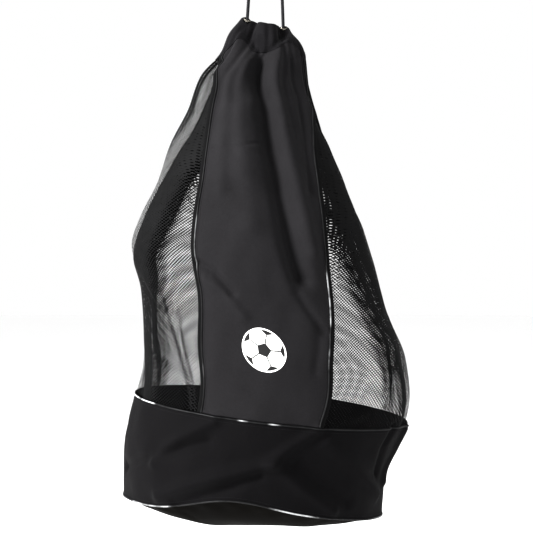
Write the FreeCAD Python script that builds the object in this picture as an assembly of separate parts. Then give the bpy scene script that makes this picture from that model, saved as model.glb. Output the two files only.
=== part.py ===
"""Mesh ball bag hanging from its drawcord, as separate pieces.

Units are millimetres. The origin is the inside top of the cord's hanging loop, +Z is up, +X is the bag's
right as seen from its front, and the front panel faces -Y.
"""
import FreeCAD, Part
import math
import os

os.makedirs("parts", exist_ok=True)
Vec = FreeCAD.Vector

# Overall sizes
BASE_DIAMETER = 430.0  # round base
WALL_HEIGHT = 595.0  # panels, from the collar seam down to the base band
BAND_HEIGHT = 161.0  # solid band round the base
DOME_SAG = 42.0  # how far the base disc hangs below its seam

# Cloth
CLOTH = 2.0  # panels, band and collar, with their seam allowance
DISC_THICKNESS = 3.0  # coated base disc
SEAM_GAP = 0.4  # between the wall's hem and the base band, which move apart

# Gathered collar
COLLAR_DROP = 141.0  # from the loop's inside top to the middle of the collar's top
COLLAR_HEIGHT = 45.0
COLLAR_TILT = -12.8  # degrees, the right eyelet hangs lower
EYELET_SPACING = 62.0
MOUTH_WIDTH = EYELET_SPACING + 22.0  # the eyelets stay on the channel's middle
MOUTH_DEPTH = 66.0
NECK_WIDTH = 132.0  # collar seam
NECK_DEPTH = 88.0
CHANNEL_WIDTH = 18.0  # flat top of the collar, over the cord channel
LINING = 1.5
LINING_GAP = 0.1

# Drawcord and eyelets
CORD_DIAMETER = 5.0
EYELET_BORE = 10.0
EYELET_WALL = 0.6
EYELET_FLANGE = 13.6
FLANGE_THICKNESS = 0.8
WASHER_DIAMETER = 13.0
WASHER_THICKNESS = 0.6
EYELET_CLEARANCE = 0.05
CHANNEL_CORD_DEPTH = 7.0  # channel run, below the collar's top
CHANNEL_CORD_SPREAD = 3.6  # and outward, where the channel leans with the collar

# Trim
PIPING = 3.6  # reflective piping, round on the walls and square-cut round the base
BAND_PIPING_CLEARANCE = 1.4  # the band leans out below its top seam
BAND_PIPING_DROP = 0.6  # below the band's top edge
BASE_PIPING_CLEARANCE = 0.3
TAPE_WIDTH = 6.0
TAPE_THICKNESS = 0.8
TAPE_CLEARANCE = 0.9
TRIM_CLEARANCE = 0.3
EMBLEM_DIAMETER = 66.0
EMBLEM_THICKNESS = 0.5
EMBLEM_SHARE = 0.82  # down the wall
EMBLEM_X = -5.0

# Leaning of the filled bag
WALL_SIDE_TILT = -6.3  # degrees at the band's seam, right side lower
BASE_SIDE_TILT = -4.5
BASE_FRONT_TILT = -5.0  # front edge of the base pulled up

# Loaded wall, from the collar seam (0) to the band seam (1). Each station holds the share of the height, the
# sideways sway as a share of the base radius, and how far width and depth have grown from the neck's to the
# base's, then the front panel's left and right edges in degrees round the section from +X. The back panel's
# edges mirror them. The sway and the bulges are those that the balls give the cloth.
WALL = [
    (0.00, -0.014, 0.00, 0.00, -169, -11),
    (0.10, -0.094, 0.18, 0.10, -142, -14),
    (0.17, -0.095, 0.275, 0.21, -129, -27),
    (0.28, -0.098, 0.50, 0.40, -121, -45),
    (0.40, -0.084, 0.70, 0.60, -118, -53),
    (0.48, -0.088, 0.85, 0.74, -116, -56),
    (0.57, -0.084, 0.96, 0.82, -115, -58),
    (0.70, 0.000, 0.97, 0.87, -117, -62),
    (0.83, 0.074, 1.06, 0.90, -120, -69),
    (0.93, 0.088, 1.09, 0.91, -119, -71),
    (1.00, 0.047, 1.09, 0.91, -118, -72),
]
# The first four of these for the band, from its top seam (0) to the base seam (1).
BAND = [
    (0.00, 0.047, 1.09, 0.91),
    (0.25, -0.021, 1.06, 0.94),
    (0.50, -0.080, 1.025, 0.97),
    (0.75, -0.092, 1.02, 0.99),
    (1.00, -0.096, 1.00, 1.00),
]
STEPS_BETWEEN = 3  # sections from one station to the next

# Drawcord loop (x, z), from the left eyelet over the hook and down to the right eyelet. The first and last
# points are set by the eyelets.
CORD_ROUTE = [(-27.0, -92.0), (-24.8, -46.0), (-23.0, 2.5), (23.0, 2.5), (26.2, -47.0), (29.0, -96.0)]
# Channel run, in degrees round the channel from under the left eyelet, past the back, to the right one.
CHANNEL_ANGLES = [204, 166, 128, 90, 52, 14, -24]
ARC_SHARE = 0.45  # of the shorter run that an arc of the cord may use

BASE_RADIUS = BASE_DIAMETER / 2
CORD_RADIUS = CORD_DIAMETER / 2
MIN_RADIUS = 3 * CORD_DIAMETER  # limp cord


def frame_at(centre, side_tilt, front_tilt):
    """Local frame of a section: x across the bag, y to its back, z along the bag."""
    turn = FreeCAD.Rotation(Vec(0, 1, 0), -side_tilt) * FreeCAD.Rotation(Vec(1, 0, 0), front_tilt)
    return FreeCAD.Placement(centre, turn)


def channel_half_sizes():
    """Half width and half depth of the ellipse that runs down the middle of the cord channel."""
    return MOUTH_WIDTH / 2 - CHANNEL_WIDTH / 2, MOUTH_DEPTH / 2 - CHANNEL_WIDTH / 2


def eyelet_forward():
    """Distance of the eyelets in front of the collar's middle, so that they sit over the channel."""
    half_width, half_depth = channel_half_sizes()
    return half_depth * math.sqrt(1 - (EYELET_SPACING / 2 / half_width) ** 2)


COLLAR = frame_at(Vec(0.6, eyelet_forward(), -COLLAR_DROP), COLLAR_TILT, 0)
NECK_Z = -COLLAR_DROP - COLLAR_HEIGHT
BAND_Z = NECK_Z - WALL_HEIGHT


def refined(stations):
    """The stations with evenly spaced ones added between them."""
    rows = [stations[0]]
    for upper, lower in zip(stations, stations[1:]):
        for step in range(1, STEPS_BETWEEN + 1):
            part = step / STEPS_BETWEEN
            rows.append(tuple(a + (b - a) * part for a, b in zip(upper, lower)))
    return rows


def section(station, top_z, height, tilts):
    """Frame and half sizes of one station; tilts holds the side and front tilts at both ends."""
    share, sway, wide, deep = station[:4]
    grown = max(0.0, 1 - 4 * (NECK_Z - (top_z - share * height)) / WALL_HEIGHT)
    centre = Vec(sway * BASE_RADIUS, eyelet_forward() * grown, top_z - share * height)
    side = tilts[0][0] + (tilts[1][0] - tilts[0][0]) * share
    front = tilts[0][1] + (tilts[1][1] - tilts[0][1]) * share
    half_width = NECK_WIDTH / 2 + (BASE_RADIUS - NECK_WIDTH / 2) * wide
    half_depth = NECK_DEPTH / 2 + (BASE_RADIUS - NECK_DEPTH / 2) * deep
    return frame_at(centre, side, front), half_width, half_depth


WALL_SECTIONS = [
    section(station, NECK_Z, WALL_HEIGHT - SEAM_GAP, ((0, 0), (WALL_SIDE_TILT, 0)))
    for station in refined(WALL)
]
FRONT_LEFT = [station[4] for station in refined(WALL)]
FRONT_RIGHT = [station[5] for station in refined(WALL)]
BAND_SECTIONS = [
    section(station, BAND_Z, BAND_HEIGHT, ((WALL_SIDE_TILT, 0), (BASE_SIDE_TILT, BASE_FRONT_TILT)))
    for station in refined(BAND)
]


def wall_point(place, angle, inset):
    """Point of a section at an angle in degrees, moved inward by inset."""
    frame, half_width, half_depth = place
    turn = math.radians(angle)
    return frame.multVec(
        Vec((half_width - inset) * math.cos(turn), (half_depth - inset) * math.sin(turn), 0)
    )


def shift_angle(place, angle, distance):
    """Angle that lies a distance further round the section."""
    turn = math.radians(angle)
    _, half_width, half_depth = place
    reach = math.hypot(half_width * math.sin(turn), half_depth * math.cos(turn))
    return angle + math.degrees(distance / reach)


def curve(points):
    """Edge through the points."""
    spline = Part.BSplineCurve()
    spline.interpolate(points)
    return spline.toShape()


def strip(places, starts, ends, outer, inner, steps=8):
    """Curved sheet between two angles at each section, from inset outer to inset inner."""
    wires = []
    for place, start, end in zip(places, starts, ends):
        angles = [start + (end - start) * step / steps for step in range(steps + 1)]
        outside = [wall_point(place, angle, outer) for angle in angles]
        inside = [wall_point(place, angle, inner) for angle in reversed(angles)]
        edges = [
            curve(outside),
            Part.makeLine(outside[-1], inside[0]),
            curve(inside),
            Part.makeLine(inside[-1], outside[0]),
        ]
        wires.append(Part.Wire(edges))
    return Part.makeLoft(wires, True, True)


def upright_piping(edge_angles):
    """Round piping that stands proud of the wall along a panel's edge."""
    radius = PIPING / 2
    path = [
        wall_point(place, angle, -radius - TRIM_CLEARANCE)
        for place, angle in zip(WALL_SECTIONS, edge_angles)
    ]
    rings = []
    last = len(path) - 1
    for index, point in enumerate(path):
        along = path[min(index + 1, last)] - path[max(index - 1, 0)]
        rings.append(Part.Wire(Part.Circle(point, along, radius).toShape()))
    return Part.makeLoft(rings, True, True)


def seam_tape(edge_angles, way):
    """Flat tape over the mesh beside the piping; way is +1 or -1 round the section."""
    near = PIPING / 2 + TRIM_CLEARANCE
    starts, ends = [], []
    for place, angle in zip(WALL_SECTIONS, edge_angles):
        starts.append(shift_angle(place, angle, way * near))
        ends.append(shift_angle(place, angle, way * (near + TAPE_WIDTH)))
    return strip(WALL_SECTIONS, starts, ends, -TAPE_CLEARANCE - TAPE_THICKNESS, -TAPE_CLEARANCE, 2)


def oval(place, inset, raise_by=0.0):
    """Closed wire of a section, moved inward and along its normal."""
    frame, half_width, half_depth = place
    sizes = sorted((half_width - inset, half_depth - inset), reverse=True)
    ellipse = Part.Ellipse(Vec(0, 0, 0), sizes[0], sizes[1])
    wire = Part.Wire(ellipse.toShape())
    if half_depth > half_width:
        wire.rotate(Vec(0, 0, 0), Vec(0, 0, 1), 90)
    wire.Placement = frame.multiply(FreeCAD.Placement(Vec(0, 0, raise_by), FreeCAD.Rotation())).multiply(
        wire.Placement
    )
    return wire


def square_piping(place, low, clearance):
    """Piping that runs round a section, square in cut, with its lower face at low on the section's normal."""
    outside = oval(place, -clearance - PIPING, low)
    inside = oval(place, -clearance, low)
    normal = place[0].Rotation.multVec(Vec(0, 0, 1))
    ring = Part.Face(outside).cut(Part.Face(inside))
    return ring.extrude(normal * PIPING)


def make_collar():
    """Outer collar with its flat folded top, and the lining that closes the cord channel."""
    top = (COLLAR, MOUTH_WIDTH / 2, MOUTH_DEPTH / 2)
    neck = WALL_SECTIONS[0]
    under = Part.makeLoft([oval(top, CLOTH, -CLOTH), oval(neck, CLOTH)], True, True)
    outer = Part.makeLoft([oval(top, 0), oval(neck, 0)], True, True).cut(under)
    up = COLLAR.Rotation.multVec(Vec(0, 0, 1))
    mouth = Part.Face(oval(top, CHANNEL_WIDTH, -2 * CLOTH)).extrude(up * 3 * CLOTH)
    outer = outer.cut(mouth)
    for centre in eyelet_centres():
        hole = Part.makeCylinder(EYELET_BORE / 2 + EYELET_WALL + EYELET_CLEARANCE, 4 * CLOTH,
                                 centre - up * 2 * CLOTH, up)
        outer = outer.cut(hole)
    inner_edge = CLOTH + LINING_GAP
    solid = Part.makeLoft(
        [oval(top, CHANNEL_WIDTH - LINING, -CLOTH - LINING_GAP), oval(neck, inner_edge)], True, True
    )
    hollow = Part.makeLoft(
        [oval(top, CHANNEL_WIDTH, -CLOTH - LINING_GAP), oval(neck, inner_edge + LINING)], True, True
    )
    return outer, solid.cut(hollow)


def eyelet_centres():
    """Middle of the cloth inside each eyelet, left and then right."""
    return [
        COLLAR.multVec(Vec(side * EYELET_SPACING / 2, -eyelet_forward(), -CLOTH / 2)) for side in (-1, 1)
    ]


def make_eyelet(centre):
    """Flanged eyelet through the collar's top, and the washer that it is rolled over below."""
    up = COLLAR.Rotation.multVec(Vec(0, 0, 1))
    bore = EYELET_BORE / 2
    barrel = bore + EYELET_WALL
    face = centre + up * (CLOTH / 2)
    bottom = centre - up * (CLOTH / 2 + WASHER_THICKNESS)
    flange = Part.makeCylinder(EYELET_FLANGE / 2, FLANGE_THICKNESS, face, up)
    tube = Part.makeCylinder(barrel, CLOTH + WASHER_THICKNESS + FLANGE_THICKNESS, bottom, up)
    way = Part.makeCylinder(bore, 6 * CLOTH, centre - up * 3 * CLOTH, up)
    washer = Part.makeCylinder(WASHER_DIAMETER / 2, WASHER_THICKNESS, bottom, up)
    eyelet = flange.fuse(tube).removeSplitter().cut(way)
    return eyelet, washer.cut(Part.makeCylinder(barrel, 6 * CLOTH, centre - up * 3 * CLOTH, up))


def cord_tube(points):
    """Round cord along straight runs joined by tangent arcs."""
    edges, position, radii = [], points[0], []
    for before, corner, after in zip(points, points[1:], points[2:]):
        arrive, leave = corner - before, after - corner
        reach = ARC_SHARE * min(arrive.Length, leave.Length)
        turn = arrive.getAngle(leave)
        radii.append(reach / math.tan(turn / 2))
        arrive.normalize()
        leave.normalize()
        start, end = corner - arrive * reach, corner + leave * reach
        inward = leave - arrive
        inward.normalize()
        depth = radii[-1] * (1 / math.cos(turn / 2) - 1)
        edges.append(Part.LineSegment(position, start).toShape())
        edges.append(Part.Arc(start, corner + inward * depth, end).toShape())
        position = end
    edges.append(Part.LineSegment(position, points[-1]).toShape())
    path = Part.Wire(edges)
    ring = Part.Wire(Part.Circle(points[0], points[1] - points[0], CORD_RADIUS).toShape())
    tube = path.makePipeShell([ring], True, False)
    expected = math.pi * CORD_RADIUS**2 * path.Length
    print("cord radii", [round(radius) for radius in radii], "least", round(MIN_RADIUS),
          "length", round(path.Length, 1), "volume ratio", round(tube.Volume / expected, 4))
    return tube


def make_loop():
    """Hanging loop of the drawcord; each end is round and centred in its eyelet, where the bag swings."""
    left, right = eyelet_centres()
    points = [left] + [Vec(x, 0, z) for x, z in CORD_ROUTE] + [right]
    loop = cord_tube(points)
    for centre in (left, right):
        loop = loop.fuse(Part.makeSphere(CORD_RADIUS, centre))
    return loop.removeSplitter()


def make_channel_run():
    """Stretch of the drawcord inside the collar's channel, round the back of the mouth."""
    half_width, half_depth = (half + CHANNEL_CORD_SPREAD for half in channel_half_sizes())
    points = []
    for angle in CHANNEL_ANGLES:
        turn = math.radians(angle)
        spot = Vec(half_width * math.cos(turn), half_depth * math.sin(turn), -CHANNEL_CORD_DEPTH)
        points.append(COLLAR.multVec(spot))
    return cord_tube(points)


def make_disc():
    """Base disc, sagging as part of a sphere under its seam."""
    ball = (BASE_RADIUS**2 + DOME_SAG**2) / (2 * DOME_SAG)
    centre = Vec(0, 0, ball - DOME_SAG)
    shell = Part.makeSphere(ball, centre).cut(Part.makeSphere(ball - DISC_THICKNESS, centre))
    dish = shell.common(Part.makeCylinder(BASE_RADIUS, DOME_SAG, Vec(0, 0, -DOME_SAG)))
    dish.Placement = BAND_SECTIONS[-1][0].multiply(dish.Placement)
    return dish


def make_emblem():
    """Round printed emblem on the front panel."""
    skin = strip(WALL_SECTIONS, FRONT_LEFT, FRONT_RIGHT, -TRIM_CLEARANCE - EMBLEM_THICKNESS, -TRIM_CLEARANCE)
    height = NECK_Z - EMBLEM_SHARE * WALL_HEIGHT
    punch = Part.makeCylinder(EMBLEM_DIAMETER / 2, BASE_DIAMETER, Vec(EMBLEM_X, 0, height), Vec(0, -1, 0))
    return skin.common(punch)


def make_parts():
    """Every sub-part, by its name."""
    back_left = [-angle for angle in FRONT_LEFT]
    back_right = [-angle for angle in FRONT_RIGHT]
    left_edge = [angle + 360 for angle in FRONT_LEFT]
    parts = {}
    parts["drawcord_loop"] = make_loop()
    parts["drawcord_channel_run"] = make_channel_run()
    parts["collar_outer"], parts["collar_lining"] = make_collar()
    for side, centre in zip(("left", "right"), eyelet_centres()):
        parts["eyelet_" + side], parts["eyelet_washer_" + side] = make_eyelet(centre)
    parts["front_panel"] = strip(WALL_SECTIONS, FRONT_LEFT, FRONT_RIGHT, 0, CLOTH)
    parts["back_panel"] = strip(WALL_SECTIONS, back_right, back_left, 0, CLOTH)
    parts["mesh_panel_left"] = strip(WALL_SECTIONS, back_left, left_edge, 0, CLOTH)
    parts["mesh_panel_right"] = strip(WALL_SECTIONS, FRONT_RIGHT, back_right, 0, CLOTH)
    edges = {
        "front_left": (FRONT_LEFT, -1),
        "front_right": (FRONT_RIGHT, 1),
        "back_left": (back_left, 1),
        "back_right": (back_right, -1),
    }
    for name, (angles, way) in edges.items():
        parts["piping_" + name] = upright_piping(angles)
        parts["seam_tape_" + name] = seam_tape(angles, way)
    count = len(BAND_SECTIONS)
    parts["base_band_front"] = strip(BAND_SECTIONS, [-180] * count, [0] * count, 0, CLOTH, 16)
    parts["base_band_back"] = strip(BAND_SECTIONS, [0] * count, [180] * count, 0, CLOTH, 16)
    parts["band_piping"] = square_piping(
        BAND_SECTIONS[0], -PIPING - BAND_PIPING_DROP, BAND_PIPING_CLEARANCE
    )
    parts["base_piping"] = square_piping(BAND_SECTIONS[-1], -PIPING / 2, BASE_PIPING_CLEARANCE)
    parts["base_disc"] = make_disc()
    parts["emblem_print"] = make_emblem()
    return parts


for name, shape in make_parts().items():
    box = shape.BoundBox
    print(f"{name:22s} solids {len(shape.Solids)} valid {shape.isValid()} volume {shape.Volume:10.0f} "
          f"x {box.XMin:7.1f} {box.XMax:7.1f} y {box.YMin:7.1f} {box.YMax:7.1f} z {box.ZMin:7.1f} {box.ZMax:7.1f}")
    shape.exportStep(f"parts/{name}.step")
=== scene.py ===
"""Mesh ball bag hanging by its drawcord: cloth, mesh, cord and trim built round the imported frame.

Lengths are metres and angles round the bag are degrees from +X, so the front's middle is at -90. A place on
the bag's skin is given by its angle and its drop, the depth of its section's middle below the frame's origin.
"""

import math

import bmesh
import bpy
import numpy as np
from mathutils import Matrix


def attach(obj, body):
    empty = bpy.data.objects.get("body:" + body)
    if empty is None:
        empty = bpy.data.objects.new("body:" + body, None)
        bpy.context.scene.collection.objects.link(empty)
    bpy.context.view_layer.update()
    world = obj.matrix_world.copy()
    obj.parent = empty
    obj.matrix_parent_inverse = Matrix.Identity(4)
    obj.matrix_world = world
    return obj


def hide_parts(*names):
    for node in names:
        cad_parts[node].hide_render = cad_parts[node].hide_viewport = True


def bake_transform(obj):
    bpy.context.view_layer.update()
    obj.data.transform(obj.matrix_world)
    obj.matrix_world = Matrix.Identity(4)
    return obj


bl_info = {
    "name": "Mesh ball bag",
    "version": (1, 0, 0),
    "blender": (4, 5, 0),
    "location": "3D View > Sidebar > Ball bag",
    "description": "Builds the soft pieces, trim and finishes of a drawstring mesh ball bag",
    "category": "Add Mesh",
}

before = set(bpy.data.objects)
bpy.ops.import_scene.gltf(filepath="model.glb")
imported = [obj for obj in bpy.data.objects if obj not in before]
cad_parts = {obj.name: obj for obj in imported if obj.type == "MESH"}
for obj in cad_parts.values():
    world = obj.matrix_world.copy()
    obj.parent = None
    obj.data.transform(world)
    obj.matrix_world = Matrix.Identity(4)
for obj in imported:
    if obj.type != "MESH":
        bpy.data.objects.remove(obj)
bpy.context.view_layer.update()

# Sizes that the frame's design gives
BASE_RADIUS = 0.215
COLLAR_DROP = 0.141  # middle of the collar's top
NECK_DROP = 0.186  # collar seam
BAND_DROP = 0.781  # seam between the walls and the base band
BASE_DROP = 0.942  # seam between the band and the base disc
MOUTH = (0.084, 0.066)  # width and depth of the collar's top
NECK = (0.132, 0.088)
COLLAR_TILT = -12.8
BAND_TILT = -6.3
BASE_TILTS = (-4.5, -5.0)  # sideways and to the front
EYELET_SPACING = 0.062
CHANNEL_WIDTH = 0.018
COLLAR_OUT = 0.0014  # the collar's cloth lies over the panels at its hem
EYELET_LEAN = (0.87, 0.24, 0.44)  # the way an eyelet faces: up, to the middle and to the front
EYELET_FORWARD = (MOUTH[1] - CHANNEL_WIDTH) / 2 * math.sqrt(
    1 - (EYELET_SPACING / (MOUTH[0] - CHANNEL_WIDTH)) ** 2
)

# Flat sizes of the sewn cloths, width or length round the bag first
COLLAR_CLOTH = (0.36, 0.062)
LINING_CLOTH = (0.30, 0.042)
PANEL_CLOTH = (0.212, 0.60)
MESH_CLOTH = (0.49, 0.60)
BAND_CLOTH = (0.675, 0.165)  # half of the band

# Loaded wall from the collar seam (0) to the band seam (1): share of the height, sideways sway as a share of
# the base radius, growth of width and of depth from the neck to the base, and the front panel's two edges.
WALL = [
    (0.00, -0.014, 0.00, 0.00, -159, -11),
    (0.10, -0.094, 0.18, 0.10, -128, -14),
    (0.17, -0.095, 0.275, 0.21, -126, -27),
    (0.28, -0.098, 0.50, 0.40, -120, -45),
    (0.40, -0.084, 0.70, 0.60, -118, -53),
    (0.48, -0.088, 0.85, 0.74, -116, -56),
    (0.57, -0.084, 0.96, 0.82, -115, -58),
    (0.70, 0.000, 0.97, 0.87, -117, -62),
    (0.83, 0.074, 1.06, 0.90, -120, -69),
    (0.93, 0.088, 1.09, 0.91, -119, -71),
    (1.00, 0.047, 1.09, 0.91, -118, -72),
]
# The band, from its top seam (0) to the base seam (1), without the panel's edges.
BAND = [
    (0.25, -0.021, 1.06, 0.94),
    (0.50, -0.080, 1.025, 0.97),
    (0.75, -0.092, 1.02, 0.99),
    (1.00, -0.096, 1.00, 1.00),
]

# Drawcord route, left eyelet to right eyelet over the hook
CORD_ROUTE = [
    (-0.02985, 0.0, -0.1351), (-0.0270, 0.0, -0.0920), (-0.0248, 0.0, -0.0460), (-0.0230, 0.0, 0.0025),
    (0.0230, 0.0, 0.0025), (0.0262, 0.0, -0.0470), (0.0290, 0.0, -0.0960), (0.03061, 0.0, -0.14884),
]

# Folds and creases of the loaded cloth: a path of (angle, drop), the half width, and how far out of the skin.
FOLDS = [
    ([(-126, 0.146), (-112, 0.172), (-90, 0.200), (-78, 0.281), (-77, 0.354), (-76, 0.430), (-74, 0.495),
      (-72, 0.560)], 0.0150, -0.0230),
    ([(-70, 0.215), (-67, 0.290), (-67, 0.360), (-66, 0.440), (-64, 0.520)], 0.0150, 0.0080),
    ([(-58, 0.152), (-66, 0.172), (-76, 0.192)], 0.0070, -0.0060),
    ([(-110, 0.210), (-100, 0.300), (-96, 0.400)], 0.0180, 0.0060),
    ([(-100, 0.300), (-92, 0.380), (-90, 0.480)], 0.0200, 0.0050),
    ([(-44, 0.208), (-40, 0.274), (-52, 0.360), (-58, 0.426)], 0.0080, -0.0050),
    ([(-128, 0.170), (-112, 0.215), (-104, 0.290), (-101, 0.370)], 0.0110, -0.0030),
    ([(-116, 0.235), (-110, 0.330), (-106, 0.430)], 0.0120, 0.0035),
    ([(-114, 0.549), (-108, 0.561), (-103, 0.592)], 0.0070, -0.0045),
    ([(-113, 0.575), (-106, 0.590), (-100, 0.625)], 0.0090, 0.0035),
    ([(-115, 0.362), (-100, 0.361), (-84, 0.354)], 0.0035, -0.0016),
    ([(-75, 0.585), (-72, 0.611), (-68, 0.640)], 0.0080, -0.0040),
    ([(-70, 0.638), (-75, 0.700)], 0.0080, -0.0030),
    ([(-135, 0.868), (-124, 0.825), (-112, 0.790)], 0.0110, 0.0060),
    ([(-162, 0.893), (-136, 0.862), (-112, 0.825)], 0.0100, -0.0060),
    ([(-131, 0.922), (-108, 0.882), (-84, 0.846)], 0.0120, 0.0075),
    ([(-122, 0.930), (-104, 0.900), (-88, 0.866)], 0.0100, -0.0060),
    ([(-85, 0.842), (-79, 0.812), (-72, 0.786)], 0.0100, 0.0060),
    ([(-82, 0.849), (-70, 0.885), (-56, 0.920)], 0.0110, 0.0070),
    ([(-74, 0.842), (-62, 0.872), (-48, 0.905)], 0.0110, -0.0060),
    ([(-26, 0.897), (-45, 0.852), (-66, 0.806)], 0.0130, 0.0065),
    ([(-31, 0.780), (-32, 0.815), (-27, 0.860)], 0.0090, -0.0070),
    ([(-16, 0.790), (-14, 0.830), (-16, 0.880)], 0.0110, 0.0070),
    ([(-176, 0.800), (-170, 0.850), (-174, 0.910)], 0.0120, -0.0050),
    ([(40, 0.795), (62, 0.845), (95, 0.880)], 0.0130, 0.0065),
    ([(120, 0.880), (142, 0.835), (160, 0.795)], 0.0130, -0.0065),
    ([(84, 0.260), (88, 0.380), (92, 0.520)], 0.0150, -0.0120),
    ([(104, 0.240), (103, 0.360), (100, 0.470)], 0.0120, 0.0060),
    ([(70, 0.600), (84, 0.650), (100, 0.665)], 0.0120, -0.0050),
]

# Pleats that the gathered mesh falls into: (drop, place across the panel, half the width that shows,
# strength) along each. Both panels run from the front panel (0) to the back one (1), and a wide pleat has a
# mirrored one at the back.
LEFT_PLEATS = [
    [(0.22, 0.03, 0.010, 0), (0.26, 0.040, 0.030, 0.9), (0.288, 0.055, 0.055, 1), (0.341, 0.075, 0.080, 1),
     (0.383, 0.140, 0.092, 1), (0.416, 0.205, 0.088, 1), (0.467, 0.228, 0.072, 1),
     (0.517, 0.260, 0.068, 0.95), (0.554, 0.315, 0.080, 0.85), (0.618, 0.345, 0.090, 0.72),
     (0.693, 0.330, 0.100, 0.66), (0.775, 0.285, 0.060, 0.6)],
    [(0.56, 0.21, 0.006, 0), (0.60, 0.185, 0.008, 0.5), (0.683, 0.112, 0.008, 0.55),
     (0.742, 0.066, 0.007, 0.55), (0.775, 0.045, 0.006, 0.5)],
    [(0.60, 0.11, 0.005, 0), (0.66, 0.085, 0.006, 0.5), (0.775, 0.028, 0.005, 0.5)],
]
RIGHT_PLEATS = [
    [(0.20, 0.06, 0.030, 0.8), (0.289, 0.080, 0.070, 1), (0.332, 0.120, 0.110, 1), (0.381, 0.142, 0.124, 1),
     (0.429, 0.155, 0.115, 1), (0.475, 0.170, 0.098, 1), (0.520, 0.202, 0.088, 1),
     (0.565, 0.230, 0.074, 0.95), (0.611, 0.268, 0.068, 0.9), (0.656, 0.282, 0.056, 0.85),
     (0.709, 0.302, 0.048, 0.75), (0.775, 0.330, 0.04, 0.5)],
    [(0.24, 0.34, 0.06, 0.6), (0.30, 0.37, 0.085, 0.75), (0.375, 0.395, 0.092, 0.75),
     (0.47, 0.405, 0.10, 0.7), (0.56, 0.42, 0.095, 0.65), (0.65, 0.43, 0.085, 0.55), (0.75, 0.45, 0.05, 0.2)],
]
PLEAT_DEPTH = 0.007

# Painted highlights on the reflective piping, where it would face the light: (from, to, how bright), by angle
# round the base or by drop
PIPING_PAINTED_HIGHLIGHTS = {
    "band": [(-178, -142, 0.8), (-103.5, -98, 0.6), (-92, -86, 0.6), (20, 48, 0.7), (128, 150, 0.8)],
    "base": [(-152, -124, 0.5), (-84, -62, 0.7), (-30, -12, 0.3), (40, 75, 0.7), (150, 170, 0.5)],
    "front_left": [(0.47, 0.565, 0.16), (0.70, 0.73, 0.12)],
    "front_right": [(0.545, 0.635, 0.40), (0.66, 0.70, 0.16)],
    "back_left": [(0.30, 0.42, 0.6)],
    "back_right": [(0.52, 0.66, 0.6)],
}

WAVES = 14  # of the small unevenness of loaded cloth
WAVE_LENGTHS = (0.035, 0.14)
rng = np.random.default_rng(7)
wave_ways = rng.normal(size=(WAVES, 3))
wave_ways /= np.linalg.norm(wave_ways, axis=1)[:, None]
WAVE_VECTORS = wave_ways * (2 * np.pi / rng.uniform(*WAVE_LENGTHS, WAVES))[:, None]
WAVE_PHASES = rng.uniform(0, 2 * np.pi, WAVES)


# ---------------------------------------------------------------- the bag's skin as a function

def smooth_rows(keys, rows, at):
    """Table rows at any key: between two keys, a cubic span whose end slopes come from the neighbours."""
    slopes = np.gradient(rows, keys, axis=0)
    at = np.clip(at, keys[0], keys[-1])
    low = np.clip(np.searchsorted(keys, at, side="right") - 1, 0, len(keys) - 2)
    gap = keys[low + 1] - keys[low]
    part = ((at - keys[low]) / gap)[..., None]
    gap = gap[..., None]
    return (
        (1 + 2 * part) * (1 - part) ** 2 * rows[low]
        + part * (1 - part) ** 2 * gap * slopes[low]
        + part**2 * (3 - 2 * part) * rows[low + 1]
        + part**2 * (part - 1) * gap * slopes[low + 1]
    )


def station_table():
    """Rows of drop, sway, forward, half width, half depth, two tilts and the front panel's two edges."""
    rows = [
        (COLLAR_DROP, 0.0006, EYELET_FORWARD, MOUTH[0] / 2, MOUTH[1] / 2, COLLAR_TILT, 0, -165, -15),
        (COLLAR_DROP + 0.022, -0.0015, EYELET_FORWARD, 0.0575, 0.039, COLLAR_TILT / 2, 0, -167, -13),
    ]
    for share, sway, wide, deep, left, right in WALL:
        rows.append((
            NECK_DROP + share * (BAND_DROP - NECK_DROP), sway * BASE_RADIUS,
            EYELET_FORWARD * max(0, 1 - 4 * share), NECK[0] / 2 + (BASE_RADIUS - NECK[0] / 2) * wide,
            NECK[1] / 2 + (BASE_RADIUS - NECK[1] / 2) * deep, BAND_TILT * share, 0, left, right,
        ))
    for share, sway, wide, deep in BAND:
        rows.append((
            BAND_DROP + share * (BASE_DROP - BAND_DROP), sway * BASE_RADIUS, 0,
            NECK[0] / 2 + (BASE_RADIUS - NECK[0] / 2) * wide,
            NECK[1] / 2 + (BASE_RADIUS - NECK[1] / 2) * deep,
            BAND_TILT + (BASE_TILTS[0] - BAND_TILT) * share, BASE_TILTS[1] * share, WALL[-1][4], WALL[-1][5],
        ))
    return np.array(rows)


TABLE = station_table()


def stations(drop):
    """Sway, forward, half width, half depth, two tilts and two edge angles at each drop."""
    return np.moveaxis(smooth_rows(TABLE[:, 0], TABLE[:, 1:], np.asarray(drop, float)), -1, 0)


def wall(angle, drop, out=0.0):
    """Point of the bag: an ellipse about a swaying middle, tilted like the seams, pushed out by a length."""
    angle, drop, out = np.broadcast_arrays(np.asarray(angle, float), drop, out)
    sway, forward, wide, deep, side, front = stations(drop)[:6]
    turn, side, front = np.radians(angle), np.radians(-side), np.radians(front)
    normal_x, normal_y = deep * np.cos(turn), wide * np.sin(turn)
    size = np.hypot(normal_x, normal_y)
    across = wide * np.cos(turn) + out * normal_x / size
    back = deep * np.sin(turn) + out * normal_y / size
    lift = back * np.sin(front)
    return np.stack([
        sway + across * np.cos(side) + lift * np.sin(side),
        forward + back * np.cos(front),
        lift * np.cos(side) - across * np.sin(side) - drop,
    ], -1)


def reach(angle, drop):
    """Metres per radian round the section."""
    wide, deep = stations(drop)[2:4]
    turn = np.radians(angle)
    return np.hypot(wide * np.sin(turn), deep * np.cos(turn))


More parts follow.
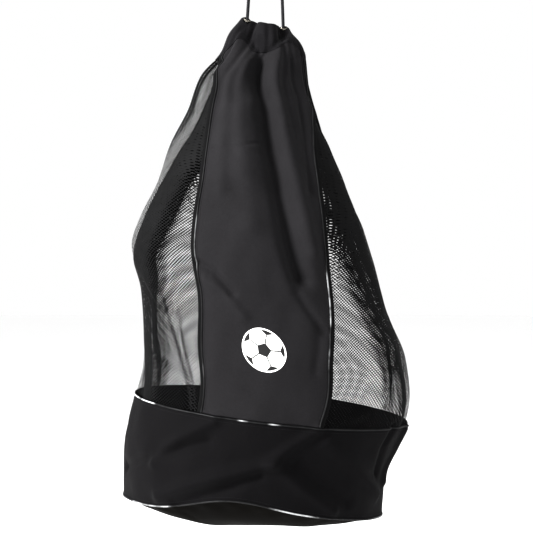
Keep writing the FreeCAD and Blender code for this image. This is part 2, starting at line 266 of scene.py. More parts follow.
def gathers(angle, drop):
    """Ripples of the drawn-in mouth: three waves round the bag, strongest just under the collar."""
    turn = np.radians(angle)
    below = np.clip((drop - COLLAR_DROP) / 0.05, 0, 1) * np.exp(-(np.clip(drop - 0.20, 0, None) / 0.10) ** 2)
    waves = 0.5 * np.cos(11 * turn + 0.5) + 0.3 * np.cos(17 * turn + 2.0) + 0.2 * np.cos(29 * turn + 1.0)
    return waves * (0.0010 + 0.0030 * below) * (drop < BAND_DROP)


def creases(angle, drop):
    """Sum over the folds: height times a bell curve of the distance from the fold's path."""
    metres = np.radians(1) * reach(angle, drop)
    turned = (angle + 200) % 360 - 200
    total = np.zeros(np.broadcast(angle, drop).shape)
    for path, width, height in FOLDS:
        nearest = np.full(total.shape, np.inf)
        for (angle_a, drop_a), (angle_b, drop_b) in zip(path, path[1:]):
            run_x, run_y = (angle_b - angle_a) * metres, drop_b - drop_a
            off_x, off_y = (turned - angle_a) * metres, drop - drop_a
            part = np.clip((off_x * run_x + off_y * run_y) / (run_x**2 + run_y**2), 0, 1)
            nearest = np.minimum(nearest, (off_x - part * run_x) ** 2 + (off_y - part * run_y) ** 2)
        total += height * np.exp(-nearest / width**2)
    return total


def unevenness(points):
    """Mean of plane waves in many directions through the points."""
    return np.sin(points @ WAVE_VECTORS.T + WAVE_PHASES).mean(-1)


def bell(value, width):
    """Bell curve, 1 at 0."""
    return np.exp(-((value / width) ** 2))


def corner_flare(angle, drop):
    """The hem's left corner, which stands out of the gathered mesh below it."""
    off = np.asarray(angle) % 360 - 180
    return 0.0075 * bell(off, 30) * bell(drop - 0.217, 0.022)


def skin(angle, drop, out=0.0):
    """Point of the loaded cloth: the wall with its gathers, creases and small unevenness."""
    angle, drop = np.broadcast_arrays(np.asarray(angle, float), np.asarray(drop, float))
    relief = gathers(angle, drop) + creases(angle, drop) + corner_flare(angle, drop)
    return wall(angle, drop, relief + 0.0030 * unevenness(wall(angle, drop)) + out)


def hem_drop(angle):
    """Lower edge of the collar: four waves round, broad and low at the middle and at the sides."""
    turn = np.radians(angle)
    return NECK_DROP + 0.003 * np.cos(2 * turn) + 0.012 * np.cos(4 * turn) - 0.0028 * np.cos(8 * turn)


def base_edge_drop(angle):
    """Base seam, pulled up at the front by two bell-shaped humps."""
    off = (np.asarray(angle) + 180) % 360 - 180
    return BASE_DROP - 0.030 * bell(off + 97, 24) - 0.008 * bell(off + 60, 24)


def collar_axes():
    """Right and up directions of the collar's tilted top, and the middle between its eyelets."""
    tilt = math.radians(COLLAR_TILT)
    right = np.array([math.cos(tilt), 0.0, math.sin(tilt)])
    up = np.array([-math.sin(tilt), 0.0, math.cos(tilt)])
    return right, up, np.array([0.0006, 0.0, -COLLAR_DROP])


def eyelet_places():
    """Middle of each eyelet in the cloth and the way it faces: up, forward and a little to the middle."""
    right, up, middle = collar_axes()
    upward, inward, forward = EYELET_LEAN
    places = []
    for side in (-1, 1):
        facing = upward * up - inward * side * right + np.array([0.0, -forward, 0.0])
        place = middle + right * side * EYELET_SPACING / 2 - up * 0.001
        places.append((place, facing / np.linalg.norm(facing)))
    return places


def draped(points):
    """Collar cloth brought onto each eyelet's leaning plane, tucked in under it, and sagging between them."""
    right, up, _ = collar_axes()
    moved = points.copy()
    for place, facing in eyelet_places():
        off = points - place
        sideways, back, high = off @ right, off[..., 1], off @ up
        plane = -(facing @ right * sideways + facing[1] * back) / (facing @ up)
        plane = np.clip(plane * 1.5, -0.0130, 0.0040)
        depth = np.clip(1 + high / 0.036, 0, 1)
        inner = sideways * (facing @ right) > 0
        nearby = np.exp(-((sideways / np.where(inner, 0.0060, 0.0125)) ** 4))
        nearby *= bell(np.clip(back, 0, None), 0.016)
        weight = nearby * depth * depth * (3 - 2 * depth)
        tuck = np.exp(-((sideways / np.where(inner, 0.0120, 0.0110)) ** 4))
        tuck *= np.clip((-back - 0.004) / 0.010, 0, 1)
        moved[..., 1] += 0.0085 * tuck * depth * depth
        moved = moved + (plane * weight)[..., None] * up
    off = points - (eyelet_places()[0][0] + eyelet_places()[1][0]) / 2
    sag = 0.0032 * bell(off @ right, 0.017) * np.clip(1 + (off @ up) / 0.036, 0, 1)
    return moved - sag[..., None] * up


def panel_edges(panel, drop):
    """First and last angle of a wall panel at a drop."""
    left, right = stations(drop)[6:8]
    return {
        "front": (left, right),
        "right": (right, -right),
        "back": (-right, -left),
        "left": (left, -left - 360),
    }[panel]


# ---------------------------------------------------------------- making meshes

def grid(rows, columns):
    """Even parameters from 0 to 1 down the rows and along the columns."""
    return np.meshgrid(np.linspace(0, 1, rows), np.linspace(0, 1, columns), indexing="ij")


def mesh_piece(name, points, uv, material, keep=None, weld=False):
    """Object from a grid of points: rows go down, columns anticlockwise seen from above, faces outward."""
    rows, columns = points.shape[:2]
    index = np.arange(rows * columns).reshape(rows, columns)
    faces = np.stack([index[1:, :-1], index[1:, 1:], index[:-1, 1:], index[:-1, :-1]], -1).reshape(-1, 4)
    if keep is not None:
        faces = faces[keep.reshape(-1)]
    return faced_piece(name, points.reshape(-1, 3), faces, uv.reshape(-1, 2), material, weld)


def faced_piece(name, points, faces, uv, material, weld=False):
    """Object from points, quads and a UV for each point."""
    mesh = bpy.data.meshes.new(name)
    mesh.from_pydata(points.tolist(), [], faces.tolist())
    layer = mesh.uv_layers.new(name="UVMap")
    layer.data.foreach_set("uv", uv[faces.reshape(-1)].astype(np.float32).reshape(-1))
    mesh.polygons.foreach_set("use_smooth", np.ones(len(faces), bool))
    mesh.materials.append(material)
    if weld:
        work = bmesh.new()
        work.from_mesh(mesh)
        bmesh.ops.remove_doubles(work, verts=work.verts, dist=1e-6)
        loose = [vert for vert in work.verts if not vert.link_faces]
        bmesh.ops.delete(work, geom=loose, context="VERTS")
        work.to_mesh(mesh)
        work.free()
    mesh.validate()
    piece = bpy.data.objects.new(name, mesh)
    bpy.context.scene.collection.objects.link(piece)
    return piece


def add_attribute(piece, name, values):
    """Store one number for each point of a grid."""
    layer = piece.data.attributes.new(name, "FLOAT", "POINT")
    layer.data.foreach_set("value", np.asarray(values, np.float32).reshape(-1))


def thicken(piece, thickness, offset=-1.0):
    """Give a sheet its thickness; offset -1 grows it inward."""
    wall_modifier = piece.modifiers.new("Cloth thickness", "SOLIDIFY")
    wall_modifier.thickness = thickness
    wall_modifier.offset = offset
    wall_modifier.use_even_offset = False
    return piece


def lengths_along(path):
    """Length of a path up to each of its points."""
    return np.r_[0, np.cumsum(np.linalg.norm(np.diff(path, axis=0), axis=1))]


def at_lengths(values, length, at):
    """Rows of three values that go with a path's lengths, at other lengths."""
    return np.stack([np.interp(at, length, values[:, axis]) for axis in range(3)], -1)


def tube_points(path, radius, columns, closed=False):
    """Grid round a path: circles of the given radius, which may vary, square to the path; ends are closed."""
    along = np.roll(path, -1, 0) - np.roll(path, 1, 0) if closed else np.gradient(path, axis=0)
    if closed:
        along[0] = along[-1] = path[1] - path[-2]
    along /= np.linalg.norm(along, axis=1)[:, None]
    helper = np.array([0.0, 1.0, 0.0]) if abs(along[:, 1]).mean() < 0.5 else np.array([0.0, 0.0, 1.0])
    first = np.cross(along, helper)
    first /= np.linalg.norm(first, axis=1)[:, None]
    second = np.cross(along, first)
    turn = -np.linspace(0, 2 * np.pi, columns)
    ring = np.cos(turn)[None, :, None] * first[:, None] + np.sin(turn)[None, :, None] * second[:, None]
    points = path[:, None] + ring * np.broadcast_to(radius, (len(path), columns))[..., None]
    if not closed:
        ends = [np.repeat(path[end][None, None], columns, 1) for end in (0, -1)]
        points = np.concatenate([ends[0], points, ends[1]])
    return points


def tube_piece(name, path, radius, columns, material, closed=False, painted_highlight=None):
    """Tube along a path, with UV in metres round it and along it, or round it and its painted highlight."""
    points = tube_points(path, radius, columns, closed)
    steps = lengths_along(path) if painted_highlight is None else painted_highlight
    if not closed:
        steps = np.r_[steps[0], steps, steps[-1]]
    around = np.linspace(0, 2 * np.pi * float(np.mean(radius)), columns)
    uv = np.stack(np.broadcast_arrays(around[None, :], steps[:, None]), -1)
    return mesh_piece(name, points, uv, material, weld=True)


def on_body(piece, body, slot, *nodes):
    """Let a piece ride on a body in place of CAD nodes; its slot is not used."""
    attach(piece, body)
    if nodes:
        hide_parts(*nodes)


def on_wall(piece, slot, *nodes):
    """Bake the transform of a piece of the wall between the collar and the base band, in place of CAD nodes.
    """
    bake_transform(piece)
    if nodes:
        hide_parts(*nodes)


# ---------------------------------------------------------------- finishes

def linear(code):
    """Linear colour with alpha from an sRGB hex code."""
    parts = [int(code.lstrip("#")[place:place + 2], 16) / 255 for place in (0, 2, 4)]
    lights = [part / 12.92 if part <= 0.04045 else ((part + 0.055) / 1.055) ** 2.4 for part in parts]
    return (*lights, 1.0)


def add_node(tree, kind, sockets=None, **settings):
    """Add a node; sockets maps an input to a value or to the output that feeds it."""
    node = tree.nodes.new(kind)
    for name, value in settings.items():
        setattr(node, name, value)
    for name, value in (sockets or {}).items():
        if isinstance(value, bpy.types.NodeSocket):
            tree.links.new(value, node.inputs[name])
        else:
            node.inputs[name].default_value = value
    return node


def new_material(name):
    """Empty node material and its tree."""
    material = bpy.data.materials.new(name)
    material.use_nodes = True
    material.node_tree.nodes.clear()
    return material, material.node_tree


def surfaced(material, sockets):
    """The material, with a principled shader fed by the sockets as its surface."""
    shader = add_node(material.node_tree, "ShaderNodeBsdfPrincipled", sockets)
    add_node(material.node_tree, "ShaderNodeOutputMaterial", {"Surface": shader.outputs[0]})
    return material


def cloth_uv(tree):
    """Place along the cloth, in metres."""
    return add_node(tree, "ShaderNodeUVMap", uv_map="UVMap").outputs["UV"]


def object_place(tree):
    """Place in space, in metres."""
    return add_node(tree, "ShaderNodeTexCoord").outputs["Object"]


def bumped(tree, height, strength, distance, **under):
    """Normal of a bump, over another one if there is one."""
    sockets = {"Height": height, "Strength": strength, "Distance": distance, **under}
    return add_node(tree, "ShaderNodeBump", sockets).outputs["Normal"]


def noise(tree, place, scale, detail, **others):
    """Factor of a noise texture."""
    sockets = {"Vector": place, "Scale": scale, "Detail": detail, **others}
    return add_node(tree, "ShaderNodeTexNoise", sockets).outputs["Fac"]


def blended(tree, factor, low, high):
    """Value between two others."""
    sockets = {"Factor": factor, "A": low, "B": high}
    return add_node(tree, "ShaderNodeMix", sockets, data_type="FLOAT").outputs[0]


def times(tree, one, other):
    """Product of two values."""
    return add_node(tree, "ShaderNodeMath", {0: one, 1: other}, operation="MULTIPLY").outputs[0]


def mapped(tree, value, **ends):
    """Value mapped from one range to another; a range that isn't given is 0 to 1."""
    sockets = {name.replace("_", " ").title(): end for name, end in ends.items()}
    return add_node(tree, "ShaderNodeMapRange", {"Value": value, **sockets}).outputs[0]


def colour_between(tree, factor, dark, light):
    """Colour that runs from one hex code to another with a factor."""
    ramp = add_node(tree, "ShaderNodeValToRGB", {"Fac": factor})
    ramp.color_ramp.elements[0].color = linear(dark)
    ramp.color_ramp.elements[1].color = linear(light)
    return ramp.outputs["Color"]


def bands_per_metre(spacing):
    """Scale at which the wave texture repeats every spacing metres."""
    return math.pi / (10 * spacing)


def woven_cloth(name, dark, light, thread, sheen=0.06, roughness=0.78):
    """Plain-woven polyester: two crossed sets of threads, a little uneven in tone, with a soft sheen."""
    material, tree = new_material(name)
    uv = cloth_uv(tree)
    place = object_place(tree)
    threads = []
    for way in ("X", "Y"):
        wave = add_node(tree, "ShaderNodeTexWave", {"Vector": uv, "Scale": bands_per_metre(thread),
                                                    "Distortion": 0.6, "Detail": 1.0, "Detail Scale": 1.5},
                        wave_type="BANDS", bands_direction=way, wave_profile="SIN")
        threads.append(wave.outputs["Fac"])
    weave = times(tree, threads[0], threads[1])
    tone = noise(tree, place, 9.0, 5.0, Roughness=0.6)
    slub = noise(tree, place, 420.0, 2.0)
    shaded = blended(tree, 0.30, blended(tree, 0.35, tone, slub), weave)
    bump = bumped(tree, weave, 0.5, 0.0003)
    small = noise(tree, place, 55.0, 3.0)
    soft = bumped(tree, small, 0.35, 0.0022, Normal=bump)
    return surfaced(material, {
        "Base Color": colour_between(tree, shaded, dark, light), "Roughness": roughness,
        "Sheen Weight": sheen, "Sheen Roughness": 0.4, "Specular IOR Level": 0.09, "Normal": soft,
    })


def knitted_mesh(name, dark, light, pitch, hole):
    """Knitted polyester net: round holes in staggered rows, about half open, in matt black yarn."""
    material, tree = new_material(name)
    uv = cloth_uv(tree)
    turned = add_node(tree, "ShaderNodeMapping", {"Vector": uv, "Rotation": (0, 0, math.radians(45)),
                                                  "Scale": (1 / pitch,) * 3}).outputs[0]
    cells = add_node(tree, "ShaderNodeTexVoronoi", {"Vector": turned, "Scale": 1.0, "Randomness": 0.0},
                     voronoi_dimensions="2D", feature="F1").outputs["Distance"]
    opened = add_node(tree, "ShaderNodeAttribute", attribute_name="open").outputs["Fac"]
    uneven = noise(tree, uv, 130.0, 2.0)
    least = mapped(tree, uneven, from_min=0.45, from_max=0.75, to_min=0.12, to_max=0.62)
    share = mapped(tree, opened, to_min=least)
    radius = times(tree, share, hole)
    off = add_node(tree, "ShaderNodeMath", {0: cells, 1: radius}, operation="SUBTRACT").outputs[0]
    solid = mapped(tree, off, from_min=-0.03, from_max=0.03)
    place = object_place(tree)
    tone = noise(tree, place, 40.0, 3.0)
    bump = bumped(tree, cells, 0.6, 0.0006)
    return surfaced(material, {
        "Base Color": colour_between(tree, tone, dark, light), "Roughness": 0.7,
        "Specular IOR Level": 0.12, "Alpha": solid, "Normal": bump,
    })


def braided_cord(name, dark, light):
    """Round braided polyester: satin yarns, lighter on their crowns, with small flecks."""
    material, tree = new_material(name)
    uv = cloth_uv(tree)
    yarn = noise(tree, uv, 900.0, 3.0)
    bump = bumped(tree, yarn, 0.4, 0.0003)
    return surfaced(material, {
        "Base Color": colour_between(tree, yarn, dark, light), "Roughness": 0.65, "Specular IOR Level": 0.2,
        "Normal": bump,
    })


def plated_steel(name, dark, light):
    """Pressed and plated steel: smooth, a little dull and scuffed."""
    material, tree = new_material(name)
    place = object_place(tree)
    scuff = noise(tree, place, 700.0, 4.0)
    rough = mapped(tree, scuff, to_min=0.18, to_max=0.42)
    return surfaced(material, {
        "Base Color": colour_between(tree, scuff, dark, light), "Metallic": 1.0, "Roughness": rough,
    })


def beaded_piping(name, dark, light):
    """Reflective piping, silver-coated glass beads on tape: painted highlight and shade, rubbed dark in
    places.
    """
    material, tree = new_material(name)
    place = object_place(tree)
    uv = cloth_uv(tree)
    # the UV's Y carries the painted highlight along the piping; rubbed patches break it up
    painted_highlight_share = add_node(tree, "ShaderNodeSeparateXYZ", {"Vector": uv}).outputs["Y"]
    rubbed = noise(tree, place, 60.0, 4.0)
    beads = add_node(tree, "ShaderNodeTexVoronoi", {"Vector": place, "Scale": 2200.0}).outputs["Distance"]
    clean = mapped(tree, rubbed, from_min=0.30, from_max=0.55)
    share = times(tree, painted_highlight_share, clean)
    bump = bumped(tree, beads, 0.3, 0.0002)
    return surfaced(material, {
        "Base Color": colour_between(tree, share, dark, light), "Metallic": 0.1, "Roughness": 0.45,
        "Specular IOR Level": 0.2, "Normal": bump,
    })


def coated_cloth(name, dark, light):
    """Polyester with a polyurethane coat: a fine pebbled skin, satin, dusty from the ground."""
    material, tree = new_material(name)
    place = object_place(tree)
    grain = add_node(tree, "ShaderNodeTexVoronoi", {"Vector": place, "Scale": 620.0}).outputs["Distance"]
    dust = noise(tree, place, 16.0, 6.0)
    rough = mapped(tree, dust, to_min=0.6, to_max=0.8)
    bump = bumped(tree, grain, 0.35, 0.0004)
    return surfaced(material, {
        "Base Color": colour_between(tree, dust, dark, light), "Roughness": rough, "Specular IOR Level": 0.02,
        "Normal": bump,
    })


def printed_ink(name, ink, cloth):
    """Screen-printed ink: flat, the cloth showing where the attribute ink is low and in small pinholes."""
    material, tree = new_material(name)
    amount = add_node(tree, "ShaderNodeAttribute", attribute_name="ink").outputs["Fac"]
    place = object_place(tree)
    pin = noise(tree, place, 900.0, 2.0)
    cover = mapped(tree, pin, from_min=0.2, from_max=0.34)
    edge = mapped(tree, amount, from_min=0.42, from_max=0.58)
    both = times(tree, cover, edge)
    bump = bumped(tree, both, 0.3, 0.0002)
    return surfaced(material, {
        "Base Color": colour_between(tree, both, cloth, ink), "Roughness": 0.5, "Normal": bump,
    })


def finish_named(key):
    """The material of that key, made once from the colours in the scene."""
    colours = bpy.context.scene.ball_bag_colours
    sizes = bpy.context.scene.ball_bag_sizes
    makers = {
        "panel": lambda: woven_cloth("Woven polyester panel", colours.panel_dark, colours.panel_light,
                                     sizes.thread_spacing),
        # the collar is the panel's cloth, painted darker as painted shade
        "collar": lambda: woven_cloth("Woven polyester collar in painted shade", colours.collar_painted_shade_dark, colours.collar_painted_shade_light,
                                      sizes.thread_spacing),
        "band": lambda: woven_cloth("Woven polyester band", colours.band_dark, colours.band_light,
                                    sizes.thread_spacing, 0.03),
        "tape": lambda: woven_cloth("Woven polyester tape", colours.tape_dark, colours.tape_light,
                                    sizes.thread_spacing, 0.02),
        "thread": lambda: braided_cord("Twisted polyester thread", colours.tape_light, colours.thread),
        "mesh": lambda: knitted_mesh("Knitted polyester mesh", colours.mesh_dark, colours.mesh_light,
                                     sizes.mesh_pitch, sizes.mesh_hole),
        "cord": lambda: braided_cord("Braided polyester cord", colours.cord_dark, colours.cord_light),
        "eyelet": lambda: plated_steel("Pressed plated steel", colours.steel_dark, colours.steel_light),
        "piping": lambda: beaded_piping("Glass-beaded piping", colours.piping_painted_shade_and_wear, colours.piping_painted_highlight),
        "base": lambda: coated_cloth("Coated polyester base", colours.base_dark, colours.base_light),
        "print": lambda: printed_ink("Screen-printed ink", colours.ink, colours.panel_dark),
    }
    name = "ball_bag_" + key
    known = bpy.context.scene.get(name)
    if known is None:
        known = makers[key]().name
        bpy.context.scene[name] = known
    return bpy.data.materials[known]


# ---------------------------------------------------------------- values a user would change

def length_of(name, description, metres):
    """Length that a user can change."""
    return bpy.props.FloatProperty(name=name, description=description, default=metres, unit="LENGTH")


class BallBagSizes(bpy.types.PropertyGroup):
    """Sizes of the soft pieces and of the view."""

    cord_diameter: length_of("Cord", "Diameter of the drawcord", 0.005)
    braid_lay: length_of("Braid lay", "Length of one turn of a braid yarn over one crossing", 0.0065)
    cloth: length_of("Cloth", "Thickness of the woven cloth with its coating", 0.0012)
    thread_spacing: length_of("Thread spacing", "Woven threads, twice as coarse as real ones so they show",
                              0.0010)
    mesh_pitch: length_of("Mesh pitch", "Distance between the holes of the mesh", 0.0034)
    mesh_hole: bpy.props.FloatProperty(
        name="Mesh hole", description="Radius of a hole as a share of the pitch", default=0.45)
    piping: length_of("Piping", "Diameter of the reflective piping", 0.0025)
    tape_width: length_of("Seam tape", "Width of the tape over the mesh seams", 0.006)
    stitch: length_of("Stitch", "Length of one stitch", 0.0032)
    emblem: length_of("Emblem", "Diameter of the printed emblem", 0.066)
    base_sag: length_of("Base sag", "Depth of the base disc under its seam", 0.031)
    eye_distance: length_of("Camera distance", "From the camera to the bag's middle", 1.7)
    view_width: length_of("View width", "Width seen at the bag's middle", 0.895)
    view_drop: length_of("Camera drop", "Camera height below the hook", 0.5485)
    floor_drop: length_of("Floor drop", "Floor below the hook", 1.35)


def hex_colour(name, description, code):
    """Text property that holds an sRGB hex colour."""
    return bpy.props.StringProperty(name=name, description=description, default=code)


class BallBagColours(bpy.types.PropertyGroup):
    """Darkest and lightest tone of each finish, as sRGB hex codes."""

    panel_dark: hex_colour("Panel dark", "Woven panel, between the threads", "#100f10")
    panel_light: hex_colour("Panel light", "Woven panel, thread crowns", "#333234")
    # Collar: the panel's cloth in painted shade, darker than on the panels
    collar_painted_shade_dark: hex_colour("Collar dark", "Woven collar, between the threads", "#0a090b")
    collar_painted_shade_light: hex_colour("Collar light", "Woven collar, thread crowns", "#232224")
    band_dark: hex_colour("Band dark", "Base band, between the threads", "#070607")
    band_light: hex_colour("Band light", "Base band, thread crowns", "#171618")
    tape_dark: hex_colour("Tape dark", "Seam tape, between the threads", "#070707")
    tape_light: hex_colour("Tape light", "Seam tape, thread crowns", "#181819")
    thread: hex_colour("Thread", "Sewing thread", "#2f2e31")
    mesh_dark: hex_colour("Mesh dark", "Mesh yarn in shade", "#080808")
    mesh_light: hex_colour("Mesh light", "Mesh yarn in light", "#161617")
    cord_dark: hex_colour("Cord dark", "Drawcord between the yarns", "#0a0a0b")
    cord_light: hex_colour("Cord light", "Drawcord on the yarns", "#232326")
    steel_dark: hex_colour("Steel dark", "Eyelets where scuffed", "#4a4844")
    steel_light: hex_colour("Steel light", "Eyelets where bright", "#aaa69d")
    # Piping: the light tone is a painted highlight, the dark one painted shade together with rubbed wear
    piping_painted_shade_and_wear: hex_colour("Piping dark", "Piping where rubbed", "#0e0e0f")
    piping_painted_highlight: hex_colour("Piping light", "Piping where bright", "#c9cacb")
    base_dark: hex_colour("Base dark", "Coated base", "#060504")
    base_light: hex_colour("Base light", "Coated base where dusty", "#110f0c")
    ink: hex_colour("Ink", "Printed emblem", "#f4f4f2")
    floor: hex_colour("Floor", "Plain pale floor", "#fdfdfd")


# ---------------------------------------------------------------- stage and cord

class BALLBAG_OT_stage(bpy.types.Operator):
    """Add the camera, the soft light and the plain pale floor."""

    bl_idname = "ball_bag.stage"
    bl_label = "Stage"

    def execute(self, context):
        sizes = context.scene.ball_bag_sizes
        camera_data = bpy.data.cameras.new("Camera")
        camera_data.sensor_width = 36.0
        camera_data.lens = camera_data.sensor_width * sizes.eye_distance / sizes.view_width
        camera = bpy.data.objects.new("Camera", camera_data)
        camera.location = (0.0025, -sizes.eye_distance, -sizes.view_drop)
        camera.rotation_euler = (math.radians(90), 0, 0)
        context.scene.collection.objects.link(camera)
        context.scene.camera = camera
        context.scene.view_settings.view_transform = "Standard"
        context.scene.view_settings.gamma = 0.75  # deep blacks under a white ground

        world = bpy.data.worlds.new("Soft room")
        world.use_nodes = True
        world.node_tree.nodes["Background"].inputs["Color"].default_value = (1.0, 1.0, 1.0, 1.0)
        world.node_tree.nodes["Background"].inputs["Strength"].default_value = 1.0
        context.scene.world = world
        for name, place, size, power in (
            ("Key", (-2.1, -1.35, 0.7), 0.9, 250.0),
            ("Fill", (1.9, -2.0, -0.2), 1.6, 30.0),
        ):
            light_data = bpy.data.lights.new(name, "AREA")
            light_data.size = size
            light_data.energy = power
            light = bpy.data.objects.new(name, light_data)
            light.location = place
            way = np.array([0.0, 0.0, -sizes.view_drop]) - np.array(place)
            light.rotation_euler = (
                math.atan2(math.hypot(way[0], way[1]), -way[2]), 0, math.atan2(-way[0], way[1])
            )
            context.scene.collection.objects.link(light)

        down, along = grid(2, 2)
        points = np.stack([(along - 0.5) * 30, (0.5 - down) * 30, 0 * along - sizes.floor_drop], -1)
        painted = surfaced(new_material("Matt painted floor")[0], {
            "Base Color": linear(context.scene.ball_bag_colours.floor), "Roughness": 0.9,
        })
        floor = mesh_piece("floor", points, np.stack([along, down], -1), painted)
        return {"FINISHED"}


def braid_radius(path, columns, radius, lay):
    """Radius of a braided cord: two sets of yarns wound opposite ways, the upper one standing out."""
    length = lengths_along(path)[:, None]
    turn = np.linspace(0, 2 * np.pi, columns)[None, :]
    yarns = 8
    right = np.cos(yarns * turn + 2 * np.pi * length / lay * 2)
    left = np.cos(yarns * turn - 2 * np.pi * length / lay * 2)
    return radius * (1 + 0.055 * np.maximum(right, left) - 0.02)


class BALLBAG_OT_drawcord(bpy.types.Operator):
    """Add the drawcord's hanging loop as a braided cord on one smooth route."""

    bl_idname = "ball_bag.drawcord"
    bl_label = "Drawcord"

    def execute(self, context):
        sizes = context.scene.ball_bag_sizes
        route = bpy.data.curves.new("drawcord route", "CURVE")
        route.dimensions = "3D"
        route.resolution_u = 64
        spline = route.splines.new("NURBS")
        spline.points.add(len(CORD_ROUTE) - 1)
        for point, place in zip(spline.points, CORD_ROUTE):
            point.co = (*place, 1.0)
        spline.order_u = 3
        spline.use_endpoint_u = True
        carrier = bpy.data.objects.new("drawcord route", route)
        context.scene.collection.objects.link(carrier)
        line = bpy.data.meshes.new_from_object(carrier)
        path = np.empty(len(line.vertices) * 3)
        line.vertices.foreach_get("co", path)
        path = path.reshape(-1, 3)
        bpy.data.objects.remove(carrier)
        bpy.data.meshes.remove(line)
        bpy.data.curves.remove(route)

        length = lengths_along(path)
        even = np.linspace(0, length[-1], int(length[-1] / 0.0006))
        path = at_lengths(path, length, even)
        columns = 49
        radius = braid_radius(path, columns, sizes.cord_diameter / 2, sizes.braid_lay)
        cord = tube_piece("drawcord", path, radius, columns, finish_named("cord"))
        on_body(cord, "drawcord", "cord", "drawcord_loop")
        return {"FINISHED"}


# ---------------------------------------------------------------- collar and eyelets

class BALLBAG_OT_collar(bpy.types.Operator):
    """Add the gathered collar, rolled over the cord channel, and its lining."""

    bl_idname = "ball_bag.collar"
    bl_label = "Collar"

    def execute(self, context):
        sizes = context.scene.ball_bag_sizes
        up = collar_axes()[1]
        down, round_ = grid(110, 420)
        angle = round_ * 360 - 180
        crown_share = 0.30  # of the rows that roll over the top

        # From the mouth's inner edge (0) over the crown, then down the outside to the hem (1)
        crown = np.clip(down / crown_share, 0, 1)
        side = np.clip((down - crown_share) / (1 - crown_share), 0, 1)
        inward = -CHANNEL_WIDTH * (1 - crown) - 0.0018 * bell(crown - 1, 0.14) * (side == 0)
        drop = COLLAR_DROP + 0.0004 + side * (hem_drop(angle) - COLLAR_DROP)
        outside = skin(angle, drop, COLLAR_OUT * np.clip(side / 0.3, 0, 1))
        points = np.where((side > 0)[..., None], outside, skin(angle, COLLAR_DROP + 0 * angle, inward))
        rolled = np.sin(np.pi * np.clip(crown, 0.0, 1.0)) * 0.0012 - 0.0004
        points = draped(points + rolled[..., None] * up)
        centres = (points[1:, 1:] + points[:-1, :-1]) / 2
        keep = np.ones(centres.shape[:2], bool)
        for place, facing in eyelet_places():
            off = centres - place
            high = off @ facing
            keep &= (np.linalg.norm(off - high[..., None] * facing, axis=-1) > 0.0066) | (abs(high) > 0.008)
        uv = np.stack([round_ * COLLAR_CLOTH[0], down * COLLAR_CLOTH[1]], -1)
        # the collar's finish is the panel cloth in painted shade
        outer = mesh_piece("collar", points, uv, finish_named("collar"), keep, weld=True)
        thicken(outer, sizes.cloth)
        on_body(outer, "bag_upper", "panel_cloth", "collar_outer")

        down, round_ = grid(40, 300)
        angle = round_ * 360 - 180
        inward = -CHANNEL_WIDTH - 0.0016 + (CHANNEL_WIDTH - 0.0022) * down**1.4
        drop = COLLAR_DROP + 0.0035 + down * (hem_drop(angle) - COLLAR_DROP - 0.0045)
        folds = 0.0010 * np.cos(np.radians(19 * angle)) * bell(down - 0.2, 0.5)
        points = draped(skin(angle, drop, inward + folds))
        uv = np.stack([round_ * LINING_CLOTH[0], down * LINING_CLOTH[1]], -1)
        lining = mesh_piece("collar_lining_cloth", points, uv, finish_named("band"), weld=True)
        thicken(lining, sizes.cloth / 2, 1.0)
        on_body(lining, "bag_upper", "panel_cloth", "collar_lining")
        return {"FINISHED"}


class BALLBAG_OT_eyelets(bpy.types.Operator):
    """Add the two flanged eyelets as lathed rings."""

    bl_idname = "ball_bag.eyelets"
    bl_label = "Eyelets"

    def execute(self, context):
        # Millimetres: radius and height round the rolled flange and down the barrel
        profile = np.array([
            (5.8, -1.0), (5.7, 0.0), (5.7, 0.7), (5.9, 1.25), (6.35, 1.5), (6.9, 1.35), (7.2, 1.0),
            (7.2, 0.6), (6.9, 0.4), (6.4, 0.3), (6.3, -0.4), (6.3, -0.9), (6.1, -1.1), (5.8, -1.0),
        ]) / 1000
        keys = np.linspace(0, 1, len(profile))
        profile = smooth_rows(keys, profile, np.linspace(0, 1, 66))
        turn = np.linspace(0, 2 * np.pi, 65)
        for side, (place, facing) in zip(("left", "right"), eyelet_places()):
            back = np.cross(facing, collar_axes()[0])
            back /= np.linalg.norm(back)
            ring = np.cos(turn)[None, :, None] * np.cross(back, facing) + np.sin(turn)[None, :, None] * back
            points = place + ring * profile[:, 0][:, None, None] + facing * profile[:, 1][:, None, None]
            down, round_ = grid(66, 65)
            uv = np.stack([round_, down], -1)
            eyelet = mesh_piece(f"eyelet_ring_{side}", points, uv, finish_named("eyelet"), weld=True)
            on_body(eyelet, "bag_upper", "eyelet_metal", "eyelet_" + side)
        return {"FINISHED"}


# ---------------------------------------------------------------- walls

def panel_points(panel, down, across, top_gap=-0.003, low_gap=0.0006):
    """Grid of a wall panel: across runs between its edges, down from the collar's hem to the band's seam."""
    level = NECK_DROP + down * (BAND_DROP - low_gap - NECK_DROP)
    for _ in range(3):
        first, last = panel_edges(panel, level)
        angle = first + (last - first) * across
        top = hem_drop(angle) + top_gap
        level = top + down * (BAND_DROP - low_gap - top)
    return angle, level


class BALLBAG_OT_solid_panels(bpy.types.Operator):
    """Add the woven front and back panels."""

    bl_idname = "ball_bag.solid_panels"
    bl_label = "Solid panels"

    def execute(self, context):
        sizes = context.scene.ball_bag_sizes
        for panel in ("front", "back"):
            down, across = grid(330, 130)
            angle, drop = panel_points(panel, down, across)
            points = skin(angle, drop)
            uv = np.stack([across * PANEL_CLOTH[0], down * PANEL_CLOTH[1]], -1)
            piece = mesh_piece(panel + "_panel_cloth", points, uv, finish_named("panel"))
            thicken(piece, sizes.cloth)
            on_wall(piece, "panel_cloth", panel + "_panel")
        return {"FINISHED"}


def ease(value):
    """Smooth step from 0 to 1."""
    value = np.clip(value, 0, 1)
    return value * value * (3 - 2 * value)


